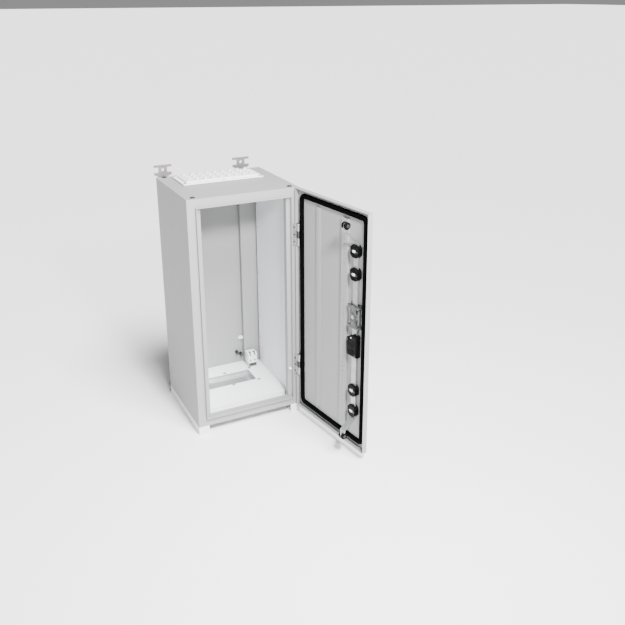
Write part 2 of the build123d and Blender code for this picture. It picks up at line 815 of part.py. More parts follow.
def rod_outline(start, sense, roller):
    """Side view of a rod: flat along the door, joggled back to the roller."""
    y0, y1 = rod_front, rod_back
    far0, far1 = roller_y - rod_thickness / 2, roller_y + rod_thickness / 2
    leave = roller - sense * joggle_start
    arrive = roller - sense * joggle_end
    tip = roller - sense * (roller_radius + 1)
    return Polyline((0, y0, start), (0, y0, leave), (0, far0, arrive), (0, far0, tip),
                    (0, far1, tip), (0, far1, arrive), (0, y1, leave), (0, y1, start), close=True)


def lock_rod(sense, roller):
    """Flat bar with a rack at the pinion and a lug for the roller.  sense is +1 upwards."""
    start = gear_z + sense * (rack_reach + 1)
    outline = make_face(rod_outline(start, sense, roller))
    rod = Pos(lock_x - rod_width / 2, 0, 0) * extrude(outline, rod_width, dir=(1, 0, 0))
    side = -sense
    inner = pinion_pitch_radius + dedendum
    outer = inner + rack_body
    z0 = gear_z - sense * rack_reach
    z1 = start + sense * rack_link
    xs = sorted((lock_x + side * inner, lock_x + side * outer))
    rack = block(xs[0], xs[1], rod_front, rod_back, min(z0, z1), max(z0, z1))
    xs = sorted((lock_x, lock_x + side * outer))
    link = sorted((start, z1))
    rack += block(xs[0], xs[1], rod_front, rod_back, link[0], link[1])
    rod += rack + rack_teeth(side, sense)
    lug = bar_x(roller_y, roller, lock_x - rod_thickness / 2, lock_x + rod_thickness / 2, lug_radius)
    zs = sorted((roller, roller - sense * joggle_end))
    lug += block(lock_x - rod_thickness / 2, lock_x + rod_thickness / 2,
                 roller_y - lug_radius, roller_y + lug_radius, zs[0], zs[1])
    rod += lug
    return with_door(rod - bar_x(roller_y, roller, lock_x - 9, lock_x + 9, roller_pin_radius))


def rack_teeth(side, sense):
    """Straight sided rack teeth in mesh with the pinion at rest."""
    slope = tan(radians(pressure_angle))
    base_half = tooth_pitch / 4 - backlash / 2 + dedendum * slope
    tip_half = tooth_pitch / 4 - backlash / 2 - addendum * slope
    teeth = None
    count = int((rack_reach + rack_lead) / tooth_pitch)
    first = -int((rack_reach - base_half) / tooth_pitch + 0.5) + 0.5
    for k in range(count):
        z = gear_z + sense * (first + k) * tooth_pitch
        root = lock_x + side * (pinion_pitch_radius + dedendum)
        tip = lock_x + side * (pinion_pitch_radius - addendum)
        face = make_face(Polyline((root, rod_front, z - base_half), (tip, rod_front, z - tip_half),
                                  (tip, rod_front, z + tip_half), (root, rod_front, z + base_half), close=True))
        tooth = extrude(face, rod_thickness, dir=(0, 1, 0))
        teeth = tooth if teeth is None else teeth + tooth
    return teeth


def lock_pinion():
    """Involute pinion on the handle spindle, a tooth on each side at rest."""
    base = pinion_pitch_radius * cos(radians(pressure_angle))
    tip = pinion_pitch_radius + addendum
    root = pinion_pitch_radius - dedendum

    def roll(radius):
        """Polar angle of the involute at a radius, from the base circle."""
        t = acos(min(1.0, base / radius))
        return tan(t) - t

    half_angle = pi / (2 * pinion_teeth) - backlash / 2 / pinion_pitch_radius + roll(pinion_pitch_radius)
    radii = [base + (tip - base) * k / 4 for k in range(5)]
    shape = Cylinder(root, pinion_width, align=(Align.CENTER, Align.CENTER, Align.MIN))
    for tooth in range(pinion_teeth):
        middle = 2 * pi * tooth / pinion_teeth
        lower = [(r * cos(middle - half_angle + roll(r)), r * sin(middle - half_angle + roll(r))) for r in radii]
        upper = [(r * cos(middle + half_angle - roll(r)), r * sin(middle + half_angle - roll(r))) for r in radii]
        inner_low = (0.8 * root * cos(middle - half_angle), 0.8 * root * sin(middle - half_angle))
        inner_high = (0.8 * root * cos(middle + half_angle), 0.8 * root * sin(middle + half_angle))
        edge = Line(inner_low, lower[0]) + Spline(lower) + Line(lower[-1], upper[-1])
        edge += Spline(upper[::-1]) + Line(upper[0], inner_high) + Line(inner_high, inner_low)
        shape += extrude(make_face(edge), pinion_width)
    shape -= Pos(0, 0, -1) * Cylinder(spindle_radius, pinion_width + 2,
                                      align=(Align.CENTER, Align.CENTER, Align.MIN))
    seated = Pos(lock_x, rod_middle + pinion_width / 2, gear_z) * Rot(90, 0, 0) * shape
    return with_door(seated)


def roller_pin(roller):
    reach = rod_thickness / 2 + fit_gap + roller_width
    pin = bar_x(roller_y, roller, lock_x - reach, lock_x + reach, roller_pin_radius)
    for sx in (-1, 1):
        xs = sorted((lock_x + sx * (reach + fit_gap), lock_x + sx * (reach + 1.5)))
        pin += bar_x(roller_y, roller, xs[0], xs[1], 1.5 * roller_pin_radius)
        xs = sorted((lock_x + sx * reach, lock_x + sx * (reach + fit_gap)))
        pin += bar_x(roller_y, roller, xs[0], xs[1], roller_pin_radius)
    return with_door(pin)


def rollers(roller):
    """The two wheels that run behind the frame's edge."""
    wheels = []
    for sx in (-1, 1):
        xs = sorted((lock_x + sx * (rod_thickness / 2 + fit_gap), lock_x + sx * (rod_thickness / 2 + roller_width)))
        wheel = bar_x(roller_y, roller, xs[0], xs[1], roller_radius)
        wheel = fillet(wheel.edges(), 1)
        wheels.append(wheel - bar_x(roller_y, roller, xs[0] - 1, xs[1] + 1, roller_pin_radius + running_gap))
    return with_door(group(wheels))


# ---- lock case, gear plate and handle ------------------------------------------------
def gear_post_places():
    z = bridge_length / 2 + 12
    return [(lock_x + sx * gear_post_reach, gear_z + sz * z) for sx in (-1, 1) for sz in (-1, 1)]


def gear_plate():
    """Die cast carrier: base, four posts and a bridge that bears the spindle."""
    w, h = gear_plate_half, gear_plate_length / 2
    high = rod_middle + pinion_width / 2 + 1.5
    plate = block(lock_x - w, lock_x + w, door_skin, door_skin + gear_plate_thickness, gear_z - h, gear_z + h)
    plate = fillet(plate.edges().filter_by(Axis.Y), 5)
    for x, z in gear_post_places():
        plate += bar_y(x, z, door_skin, high, gear_post_radius)
    w, h = gear_post_reach + gear_post_radius, bridge_length / 2
    bridge = block(lock_x - 11, lock_x + 11, high, high + 3, gear_z - h - 15, gear_z + h + 15)
    for sz in (-1, 1):
        z = gear_z + sz * (h + 12)
        bridge += block(lock_x - w, lock_x + w, high, high + 3, z - 3.5, z + 3.5)
    bridge += bar_y(lock_x, gear_z, high, high + 5, 2 * spindle_radius)
    plate += bridge
    return with_door(plate - bar_y(lock_x, gear_z, door_skin - 1, high + 6, spindle_radius + running_gap))


def lock_case_sides():
    middle = lock_x + lock_case_shift
    return middle - lock_case_width / 2, middle + lock_case_width / 2


def lock_case_screw_places():
    x0, x1 = lock_case_sides()
    z0 = bottom + lock_case_level
    return [(x0 + 3.5, z0 + 6), (x1 - 5, z0 + 6), (x1 - 5, z0 + lock_case_length - 20)]


def lock_case():
    """Moulded case with a channel for the lower rod and a bore for the lock barrel."""
    x0, x1 = lock_case_sides()
    z0 = bottom + lock_case_level
    z1 = z0 + lock_case_length
    high = door_skin + lock_case_height
    case = extrude(make_face(Polyline(
        (x0, door_skin, z0), (x1, door_skin, z0), (x1, door_skin, z1 - 16),
        (x0 + 12, door_skin, z1), (x0, door_skin, z1 - 6), close=True)),
        lock_case_height, dir=(0, 1, 0))
    case = chamfer(case.faces().sort_by(Axis.Y)[-1].edges(), 2)
    slot = rod_width / 2 + fit_gap
    case -= block(lock_x - slot, lock_x + slot, door_skin - 1, rod_back + fit_gap, z0 - 1, z1 + 1)
    case -= bar_y(lock_x + barrel_offset - 1.5, bottom + barrel_level, door_skin - 1, high - 5,
                  barrel_radius + 1.5)
    for x, z in lock_case_screw_places():
        case -= bar_y(x, z, door_skin - 1, high + 1, guide_screw_radius)
    return with_door(case)


def lock_case_screws():
    high = door_skin + lock_case_height
    screws = []
    for x, z in lock_case_screw_places():
        screw = bar_y(x, z, door_skin, high, guide_screw_radius)
        head = bar_y(x, z, high, high + flat_head, 1.5 * guide_screw_radius)
        slot = block(x - 2.6, x + 2.6, high + flat_head / 2, high + 2, z - head_slot, z + head_slot)
        screws.append(screw + head - slot)
    return with_door(group(screws))


def handle_escutcheon():
    """Moulded plate on the outside of the door round the handle and barrel."""
    w = escutcheon_width / 2
    z1 = gear_z + 30
    x = lock_x + lock_case_shift
    plate = block(x - w, x + w, door_face - escutcheon_height, door_face, z1 - escutcheon_length, z1)
    plate = fillet(plate.edges().filter_by(Axis.Y), 10)
    plate = fillet(plate.faces().sort_by(Axis.Y)[0].edges(), 2)
    plate -= bar_y(lock_x, gear_z, door_face - 20, door_face + 1, spindle_radius + running_gap)
    plate -= bar_y(lock_x + barrel_offset, bottom + barrel_level, door_face - 20, door_face + 1,
                   barrel_radius + running_gap)
    return with_door(plate)


def lock_barrel():
    """Lock barrel with a key slot, reaching from the escutcheon into the lock case."""
    x, z = lock_x + barrel_offset, bottom + barrel_level
    outer = door_face - escutcheon_height - 2
    shape = bar_y(x, z, outer, door_skin + 8, barrel_radius)
    shape -= block(x - 0.7, x + 0.7, outer - 1, outer + 6, z - 4, z + 4)
    return with_door(shape)


def handle_spindle():
    y0 = door_face - escutcheon_height - lever_standoff - spindle_seat
    y1 = rod_middle + pinion_width / 2 + 6.5
    return with_door(bar_y(lock_x, gear_z, y0, y1, spindle_radius))


def handle_lever():
    """Straight lever, across the door when unlocked and pointing down when locked."""
    y1 = door_face - escutcheon_height - lever_standoff
    y0 = y1 - lever_thickness
    w = lever_width / 2
    arm = block(lock_x, lock_x + lever_length - w, y0, y1, gear_z - w, gear_z + w)
    arm += bar_y(lock_x + lever_length - w, gear_z, y0, y1, w)
    arm += bar_y(lock_x, gear_z, y0, y1, w)
    arm = fillet(arm.faces().sort_by(Axis.Y)[0].edges(), 2.5)
    arm += bar_y(lock_x, gear_z, y1, door_face - escutcheon_height - fit_gap, spindle_radius + 3)
    arm -= bar_y(lock_x, gear_z, y1 - spindle_seat, door_face, spindle_radius + running_gap)
    return with_door(arm)


# ---- the whole cabinet ---------------------------------------------------------------
for name, maker in (("side_panel", side_panel), ("front_post", front_post), ("side_liner", side_liner),
                    ("rear_post", rear_post), ("base_rail", base_rail)):
    piece = maker()
    parts[name + "_right"] = piece
    parts[name + "_left"] = mirrored(piece)

for maker in (back_panel, roof_panel, corner_plugs, front_top_rail, front_sill, floor_panel,
              floor_gland_seal, floor_gland_plate, floor_gland_screws, base_rail_screws,
              entry_plate_seal, top_entry_plate, entry_membranes, entry_plate_screws, bracket_bolts,
              earth_terminal_bracket, earth_terminal_block, earth_terminal_screws, earth_studs,
              wall_clip, door_buffer, hinge_pins, door_panel, door_gasket, door_stiffener,
              door_perforated_rail, rod_guides, guide_screws, lock_pinion, gear_plate, lock_case,
              lock_case_screws, handle_escutcheon, lock_barrel, handle_spindle, handle_lever):
    parts[maker.__name__] = maker()

for side, x in bracket_columns.items():
    parts["wall_bracket_upper_" + side] = wall_bracket(x, upper=True)
    parts["wall_bracket_lower_" + side] = wall_bracket(x, upper=False)

for position, level in zip(("lower", "upper"), hinge_levels):
    parts["body_hinge_leaf_" + position] = body_hinge_leaf(level)
    parts["door_hinge_leaf_" + position] = door_hinge_leaf(level)

for position, sense, roller in (("lower", -1, roller_low), ("upper", 1, roller_high)):
    parts[position + "_lock_rod"] = lock_rod(sense, roller)
    parts[position + "_roller_pin"] = roller_pin(roller)
    parts[position + "_rollers"] = rollers(roller)

os.makedirs("parts", exist_ok=True)
for name, shape in parts.items():
    export_step(shape, os.path.join("parts", name + ".step"))
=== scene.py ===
import math
import random

import bmesh
import bpy
from mathutils import Matrix, Vector


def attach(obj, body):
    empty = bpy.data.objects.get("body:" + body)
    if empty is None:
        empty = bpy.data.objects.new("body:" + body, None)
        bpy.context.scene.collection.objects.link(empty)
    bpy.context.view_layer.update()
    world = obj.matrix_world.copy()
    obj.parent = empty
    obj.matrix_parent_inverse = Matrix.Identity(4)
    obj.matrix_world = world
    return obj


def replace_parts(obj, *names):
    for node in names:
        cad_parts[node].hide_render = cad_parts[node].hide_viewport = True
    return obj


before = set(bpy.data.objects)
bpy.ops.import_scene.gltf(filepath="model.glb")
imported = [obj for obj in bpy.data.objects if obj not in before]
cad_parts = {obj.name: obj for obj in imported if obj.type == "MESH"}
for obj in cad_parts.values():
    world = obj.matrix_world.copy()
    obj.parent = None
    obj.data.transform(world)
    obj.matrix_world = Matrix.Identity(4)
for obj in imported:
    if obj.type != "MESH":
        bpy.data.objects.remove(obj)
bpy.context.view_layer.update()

# ---- base rails ----------------------------------------------------------------------
# Two folded steel channels under the body that lift it off the floor.  They are powder
# coated a little lighter than the body and bolted up into its folded lower edges.


class Flow:
    """One shader socket.  Sums and products of it add Math nodes."""

    def __init__(self, tree, socket):
        self.tree = tree
        self.socket = socket

    def node(self, kind, settings, inputs, out=0):
        """Any other node: its settings first, then the values or links of its sockets."""
        made = self.tree.nodes.new(kind)
        for key, value in settings.items():
            setattr(made, key, value)
        for key, value in inputs.items():
            if isinstance(value, Flow):
                self.tree.links.new(value.socket, made.inputs[key])
            else:
                made.inputs[key].default_value = value
        return Flow(self.tree, made.outputs[out])

    def maths(self, operation, first, second):
        return self.node("ShaderNodeMath", {"operation": operation}, {0: first, 1: second})

    def __add__(self, other):
        return self.maths("ADD", self, other)

    def __radd__(self, other):
        return self.maths("ADD", other, self)

    def __sub__(self, other):
        return self.maths("SUBTRACT", self, other)

    def __rsub__(self, other):
        return self.maths("SUBTRACT", other, self)

    def __mul__(self, other):
        return self.maths("MULTIPLY", self, other)

    def __rmul__(self, other):
        return self.maths("MULTIPLY", other, self)


def new_finish(name):
    """A material, and the place on the piece that its patterns start from."""
    finish = bpy.data.materials.new(name)
    finish.use_nodes = True
    tree = finish.node_tree
    place = Flow(tree, tree.nodes.new("ShaderNodeTexCoord").outputs["Object"])
    return finish, place


def set_surface(finish, inputs):
    """Values and links for the sockets of the material's surface shader."""
    tree = finish.node_tree
    shader = tree.nodes["Principled BSDF"]
    for key, value in inputs.items():
        if isinstance(value, Flow):
            tree.links.new(value.socket, shader.inputs[key])
        else:
            shader.inputs[key].default_value = value


def noise(place, scale, detail=2.0, roughness=0.5):
    return place.node("ShaderNodeTexNoise", {},
                      {"Vector": place, "Scale": scale, "Detail": detail, "Roughness": roughness})


def mix_colour(factor, first, second):
    return factor.node("ShaderNodeMix", {"data_type": "RGBA"},
                       {0: factor, 6: first, 7: second}, 2)


def relief(height, strength, depth, edge=0.0006):
    """Bump from a height pattern, over edges that are rounded a little."""
    rounded = height.node("ShaderNodeBevel", {"samples": 4}, {"Radius": edge})
    return height.node("ShaderNodeBump", {},
                       {"Strength": strength, "Distance": depth, "Height": height, "Normal": rounded})


def powder_paint(name, colour, shade, gloss):
    """Powder coat on steel: fine orange peel, faint uneven tone, and painted shade that darkens the
    corners, which are also made rougher.
    """
    finish, place = new_finish(name)
    broad = noise(place, 6.0, 4.0)
    peel = noise(place, 900.0, 2.0)
    waves = noise(place, 160.0, 2.0)
    tone = mix_colour(broad, shade, colour)
    # Painted shade: the ambient occlusion node finds corners and crevices, and their colour is pulled
    # toward a darker grey in place of the shade that falls there; the same corner mask also raises the
    # roughness.
    open_sky = place.node("ShaderNodeAmbientOcclusion", {"samples": 4}, {"Distance": 0.014}, 1)
    corner = (1.0 - open_sky) * (0.14 + 0.3 * broad)
    corner_shade_tone = tuple(0.72 * c for c in shade[:3]) + (1.0,)
    tone = mix_colour(corner, tone, corner_shade_tone)
    rough = gloss + 0.10 * noise(place, 45.0, 3.0) + 0.2 * corner
    set_surface(finish, {"Base Color": tone, "Roughness": rough, "Specular IOR Level": 0.22,
                         "Normal": relief(peel + 1.6 * waves, 0.16, 0.0002)})
    return finish


def finish_nodes(finish, *names):
    """Puts a finish on CAD pieces."""
    for name in names:
        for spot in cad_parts[name].material_slots:
            spot.link = "OBJECT"
            spot.material = finish


plinth_paint = powder_paint("plinth_paint", (0.84, 0.84, 0.835, 1), (0.78, 0.78, 0.775, 1), 0.42)
finish_nodes(plinth_paint, "base_rail_left", "base_rail_right")


def zinc_plate(name, bright, dull, stain, rough):
    """Zinc plated steel: mottled passivation, fine drawing lines and soft stains."""
    finish, place = new_finish(name)
    cells = place.node("ShaderNodeTexVoronoi", {}, {"Vector": place, "Scale": 210.0}, 1)
    cell = cells.node("ShaderNodeSeparateColor", {}, {0: cells})
    cloud = noise(place, 55.0, 5.0, 0.6)
    lines = place.node("ShaderNodeMapping", {}, {0: place, 3: (1900.0, 1900.0, 60.0)})
    drawn = noise(lines, 1.0, 2.0)
    tone = mix_colour(0.35 * cell + 0.65 * cloud, dull, bright)
    tone = mix_colour((noise(place, 24.0, 3.0) - 0.42) * 1.5, tone, stain)
    wear = rough + 0.16 * cloud + 0.05 * drawn
    set_surface(finish, {"Base Color": tone, "Metallic": 0.85, "Roughness": wear,
                         "Normal": relief(drawn + 0.4 * cell, 0.12, 0.0001, 0.0004)})
    return finish


steel_grey = zinc_plate("steel_grey", (0.62, 0.63, 0.64, 1), (0.42, 0.43, 0.45, 1),
                        (0.5, 0.49, 0.45, 1), 0.26)
finish_nodes(steel_grey, "base_rail_screws")

# ---- body shell ----------------------------------------------------------------------
# Side, back, roof and floor sheets of 1.5 mm steel with the roll formed front frame.
# They are folded, spot welded into one shell and powder coated light grey.  The side
# liners and the inner floor have a nearly white coat.

MM = 0.001
shell_paint = powder_paint("shell_paint", (0.315, 0.315, 0.313, 1), (0.29, 0.291, 0.29, 1), 0.46)
inner_paint = powder_paint("inner_paint", (0.84, 0.855, 0.87, 1), (0.81, 0.825, 0.84, 1), 0.42)
finish_nodes(shell_paint, "side_panel_left", "side_panel_right", "back_panel", "roof_panel",
             "front_post_left", "front_post_right", "front_top_rail", "front_sill",
             "rear_post_left", "rear_post_right")
finish_nodes(inner_paint, "floor_panel", "side_liner_left", "side_liner_right")


def lathe(bm, profile, axis, centre, steps=24):
    """Turned solid.  profile is (radius, height) pairs along the axis, in millimetres."""
    turn = Vector((0, 0, 1)).rotation_difference(Vector(axis)).to_matrix()
    rings = []
    for radius, height in profile:
        if radius <= 0:
            rings.append([bm.verts.new(turn @ Vector((0, 0, height)) + Vector(centre))])
            continue
        ring = []
        for k in range(steps):
            angle = 2 * math.pi * k / steps
            point = Vector((radius * math.cos(angle), radius * math.sin(angle), height))
            ring.append(bm.verts.new(turn @ point + Vector(centre)))
        rings.append(ring)
    for low, high in zip(rings, rings[1:]):
        for k in range(steps):
            after = (k + 1) % steps
            corners = [low[k % len(low)], low[after % len(low)]]
            corners += [high[after % len(high)], high[k % len(high)]]
            corners = list(dict.fromkeys(corners))
            if len(corners) > 2:
                bm.faces.new(corners)
    for ring in (rings[0], rings[-1]):
        if len(ring) > 1:
            bm.faces.new(ring)


def piece(name, body, finish, build, turned=None, sharp=40, round_off=0.0):
    """Builds one mesh in millimetres, seats it on its body and gives it its finish."""
    bm = bmesh.new()
    build(bm)
    if turned is not None:
        bm.transform(turned)
    bmesh.ops.recalc_face_normals(bm, faces=bm.faces)
    bm.transform(Matrix.Scale(MM, 4))
    mesh = bpy.data.meshes.new(name)
    bm.to_mesh(mesh)
    bm.free()
    mesh.polygons.foreach_set("use_smooth", [True] * len(mesh.polygons))
    mesh.set_sharp_from_angle(angle=math.radians(sharp))
    made = bpy.data.objects.new(name, mesh)
    bpy.context.scene.collection.objects.link(made)
    if round_off:
        edge = made.modifiers.new("edge", "BEVEL")
        edge.width = round_off * MM
        edge.segments = 2
        edge.limit_method = "ANGLE"
        edge.angle_limit = math.radians(sharp)
        edge.harden_normals = True
    mesh.materials.append(finish)
    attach(made, body)
    return made


weld_mark = [(2.4, -0.2), (2.4, 0.08), (1.7, 0.16), (1.2, 0.05), (0, 0.03)]


def spot_welds(bm):
    """Shallow round marks along the seams of the inner side walls and the rear corners."""
    for side in (-1, 1):
        for k in range(9):
            z = 70 + 72 * k
            lathe(bm, weld_mark, (-side, 0, 0), (side * 130.5, 99, z), 16)
            lathe(bm, weld_mark, (0, -1, 0), (side * 147, 118, z), 16)


piece("shell_spot_welds", "cabinet", shell_paint, spot_welds)

# ---- corner plugs --------------------------------------------------------------------
# Four grey moulded plugs that close the lifting holes in the roof.  Each is pushed in,
# and has a dished cap with a raised edge and a pip in the middle.


def moulded(name, colour, shade, rough, grain=1400.0, shine=0.4):
    """Moulded plastic with a spark eroded grain and slight flow marks."""
    finish, place = new_finish(name)
    fine = noise(place, grain, 2.0)
    flow = noise(place, 30.0, 3.0)
    tone = mix_colour(flow, shade, colour)
    set_surface(finish, {"Base Color": tone, "Roughness": rough + 0.08 * flow, "Specular IOR Level": shine,
                         "Normal": relief(fine, 0.12, 0.00015, 0.0005)})
    return finish


plug_grey = moulded("plug_grey", (0.045, 0.046, 0.048, 1), (0.03, 0.031, 0.033, 1), 0.42, 1400.0, 0.2)
finish_nodes(plug_grey, "corner_plugs")
plug_places = [(-134, -121), (134, -121), (-134, 126), (98, 126)]


def plug_rings(bm):
    for x, y in plug_places:
        lathe(bm, [(5.2, -0.3), (5.2, 0.5), (4.9, 0.75), (4.4, 0.75), (4.1, 0.5), (4.1, 0.1),
                   (1.4, 0.05), (1.2, 0.45), (0.8, 0.6), (0, 0.62)], (0, 0, 1), (x, y, 677), 28)


piece("plug_rings", "cabinet", plug_grey, plug_rings)

# ---- roof cable entry plate ----------------------------------------------------------
# White moulded plate over the roof window, with a foam seal under its rim, six screws and
# three rows of soft stepped grommets that are cut open for each cable.

entry_plastic = moulded("entry_plastic", (0.86, 0.865, 0.86, 1), (0.82, 0.825, 0.82, 1), 0.4)
entry_rubber = moulded("entry_rubber", (0.66, 0.67, 0.67, 1), (0.6, 0.61, 0.61, 1), 0.55, 700.0)
finish_nodes(entry_plastic, "top_entry_plate")
finish_nodes(steel_grey, "entry_plate_screws")
grommet_places = [(22.5 * c, 61 + 25 * r) for r in (-1, 0, 1) for c in range(-4, 5)]
grommet_profile = [(6.9, 677), (6.9, 683.05), (8.6, 683.05), (9.0, 683.4), (8.9, 683.9), (8.4, 684.3),
                   (6.6, 684.4), (6.3, 684.7), (6.1, 685.6), (5.8, 685.9), (5.1, 686.0), (4.9, 686.3),
                   (4.7, 687.2), (4.4, 687.5), (3.8, 687.6), (3.6, 687.9), (3.4, 688.8), (3.1, 689.1),
                   (2.5, 689.2), (2.3, 689.6), (1.9, 690.1), (0.9, 690.15), (0.5, 689.7), (0, 689.6)]


def grommets(bm):
    for x, y in grommet_places:
        lathe(bm, grommet_profile, (0, 0, 1), (x, y, 0), 24)


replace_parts(piece("entry_grommets", "cabinet", entry_rubber, grommets, sharp=50),
            "entry_membranes")


def foam(name):
    """Black foamed seal: matt skin, open pores and a faint bloom."""
    finish, place = new_finish(name)
    pores = place.node("ShaderNodeTexVoronoi", {}, {"Vector": place, "Scale": 950.0})
    lumps = noise(place, 240.0, 3.0)
    pit = (0.32 - pores) * 2.0
    tone = mix_colour(lumps, (0.001, 0.00105, 0.0011, 1), (0.0026, 0.0027, 0.0029, 1))
    set_surface(finish, {"Base Color": tone, "Roughness": 0.72 + 0.15 * lumps, "Specular IOR Level": 0.01,
                         "Normal": relief(lumps - 0.5 * pit, 0.5, 0.0004, 0.0004)})
    return finish


gasket_black = foam("gasket_black")


def rounded_loop(x0, x1, y0, y1, radius, steps=8):
    """Points and outward directions round a rectangle with round corners."""
    loop = []
    for cx, cy, start in ((x1 - radius, y1 - radius, 0), (x0 + radius, y1 - radius, 90),
                          (x0 + radius, y0 + radius, 180), (x1 - radius, y0 + radius, 270)):
        for k in range(steps + 1):
            angle = math.radians(start + 90 * k / steps)
            out = (math.cos(angle), math.sin(angle))
            loop.append(((cx + radius * out[0], cy + radius * out[1]), out))
    return loop


def swept_loop(bm, loop, profile, seat):
    """Closed bead round a loop.  profile is (outward, height); seat places (a, b, height)."""
    rings = []
    for (a, b), (na, nb) in loop:
        rings.append([bm.verts.new(seat(a + na * s, b + nb * s, h)) for s, h in profile])
    for here, after in zip(rings, rings[1:] + rings[:1]):
        for k in range(len(profile)):
            nxt = (k + 1) % len(profile)
            bm.faces.new((here[k], here[nxt], after[nxt], after[k]))


def flat_seat(x, y, h):
    return Vector((x, y, h))


def entry_seal(bm):
    loop = rounded_loop(-109.5, 109.5, 13.5, 108.5, 3.0)
    profile = [(-5.4, 675.05), (-5.5, 675.4), (-5.2, 675.95), (5.3, 675.95), (5.7, 675.5), (5.4, 675.05)]
    swept_loop(bm, loop, profile, flat_seat)


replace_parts(piece("entry_seal", "cabinet", gasket_black, entry_seal),
            "entry_plate_seal")

# ---- floor gland plate ---------------------------------------------------------------
# Dished zinc plated cover under the window in the floor, pulled up against a rubber seal
# by six screws and nuts.  Cables are brought in through holes cut in it on site.

finish_nodes(steel_grey, "floor_gland_screws", "floor_gland_plate")


def gland_seal(bm):
    loop = rounded_loop(-81, 81, -3, 77, 3.0)
    profile = [(-5.8, 52.55), (-5.9, 53.0), (-5.7, 53.45), (5.7, 53.45), (5.9, 53.0), (5.8, 52.55)]
    swept_loop(bm, loop, profile, flat_seat)


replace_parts(piece("gland_seal", "cabinet", gasket_black, gland_seal),
            "floor_gland_seal")


def gland_bead(bm):
    """Pressed stiffening bead in the floor of the dish."""
    loop = rounded_loop(-58, 58, 16, 58, 8.0)
    profile = [(-2.2, 43.9)] + [(2.2 * math.sin(math.radians(a)), 44.0 + 0.9 * math.cos(math.radians(a)))
                                for a in range(-75, 76, 25)] + [(2.2, 43.9)]
    swept_loop(bm, loop, profile, flat_seat)


piece("gland_plate_bead", "cabinet", steel_grey, gland_bead)

# ---- wall brackets -------------------------------------------------------------------
# Four pressed brackets bolted to the back, two heads above the roof and two below the
# body.  Thick passivation gives the zinc a mauve cast.

zinc_mauve = zinc_plate("zinc_mauve", (0.31, 0.28, 0.305, 1), (0.18, 0.162, 0.18, 1),
                        (0.25, 0.23, 0.215, 1), 0.40)
finish_nodes(zinc_mauve, "wall_bracket_upper_left", "wall_bracket_upper_right",
             "wall_bracket_lower_left", "wall_bracket_lower_right")
finish_nodes(steel_grey, "bracket_bolts")


def bolt_head_rings(bm):
    """Pressed rim and centre dimple on each bolt head."""
    for x in (-134, 98):
        for z in (651, 618, 65, 98):
            lathe(bm, [(4.4, -0.3), (4.4, 0.35), (4.0, 0.55), (3.3, 0.5), (2.9, 0.15), (0, 0.1)],
                  (0, 1, 0), (x, 140.5, z), 6)


piece("bolt_head_rings", "cabinet", steel_grey, bolt_head_rings, sharp=30)

# ---- earth terminal, clip and buffer -------------------------------------------------
# White moulded terminal block on a folded foot, with two blackened clamp screws.  Two
# blackened studs with nuts and a cable clip are on the back, and a pad is on the ledge.

white_plastic = moulded("white_plastic", (0.87, 0.875, 0.87, 1), (0.82, 0.825, 0.82, 1), 0.38)
dark_steel = zinc_plate("dark_steel", (0.11, 0.11, 0.115, 1), (0.045, 0.045, 0.05, 1),
                        (0.08, 0.07, 0.06, 1), 0.34)
finish_nodes(white_plastic, "earth_terminal_block", "wall_clip", "door_buffer")
finish_nodes(dark_steel, "earth_terminal_screws", "earth_studs")
finish_nodes(steel_grey, "earth_terminal_bracket")
back_wall = 133.5
stud_places = ((62, 92), (75, 84))


def stud_threads(bm):
    """Turns of thread on the free ends of the studs."""
    for x, z in stud_places:
        profile = [(2.6, 6.6)]
        for k in range(11):
            height = 6.7 + k
            profile += [(2.75, height), (3.25, height + 0.42), (2.75, height + 0.84)]
        profile += [(2.2, 18.0), (0, 18.1)]
        lathe(bm, profile, (0, -1, 0), (x, back_wall, z), 20)


piece("stud_threads", "cabinet", dark_steel, stud_threads, sharp=60)


def bar(bm, x0, x1, y0, y1, z0, z1):
    """Rectangular solid between two corners."""
    lows = Vector((x0, y0, z0))
    size = Vector((x1 - x0, y1 - y0, z1 - z0))
    shape = Matrix.Translation(lows + size / 2) @ Matrix.Diagonal((*size, 1.0))
    bmesh.ops.create_cube(bm, size=1.0, matrix=shape)


def terminal_ribs(bm):
    """Moulded ribs on the sides and a lip over the two wire entries."""
    for x in (82.4, 111.0):
        for y in (90, 97, 104):
            bar(bm, x, x + 0.6, y - 0.8, y + 0.8, 70, 99)
    bar(bm, 84.5, 109.5, 83.3, 84.2, 80.2, 81.6)
    bar(bm, 96.3, 97.7, 83.3, 84.2, 81.6, 96)


piece("terminal_ribs", "cabinet", white_plastic, terminal_ribs, round_off=0.25)


def clip_tongue(bm):
    """Hooked tongue that closes the clip's band."""
    bar(bm, 72.5, 78.5, 124.7, 125.7, 136.8, 143.2)
    bar(bm, 73.5, 77.5, 123.9, 124.9, 138.6, 141.4)


piece("clip_tongue", "cabinet", white_plastic, clip_tongue, round_off=0.3)

# ---- hinges --------------------------------------------------------------------------
# Two steel lift hinges on the right edge: a zinc leaf with two knuckles screwed to the
# front band, a blackened leaf with one knuckle inside the door's edge and a headed pin.

zinc = zinc_plate("zinc", (0.56, 0.565, 0.57, 1), (0.30, 0.305, 0.32, 1), (0.42, 0.41, 0.38, 1), 0.3)
finish_nodes(zinc, "body_hinge_leaf_lower", "body_hinge_leaf_upper")
finish_nodes(dark_steel, "door_hinge_leaf_lower", "door_hinge_leaf_upper", "hinge_pins")


def hinge_screws(bm):
    """Low domed screw heads with a round recess in the middle, on the body leaves."""
    for level in (155, 545):
        for z in (level - 20, level, level + 20):
            lathe(bm, [(2.9, -0.1), (2.9, 0.1), (2.5, 0.5), (1.7, 0.75), (0.9, 0.82), (0.6, 0.5),
                       (0, 0.45)], (0, -1, 0), (139.6, -137.5, z), 20)


piece("hinge_screws", "cabinet", dark_steel, hinge_screws, sharp=60)

# ---- door ----------------------------------------------------------------------------
# Shallow steel tray, 14 mm deep, with a foamed seal poured round its inside, a low
# stiffener near the hinges and a channel with a row of fixing holes near the lock.

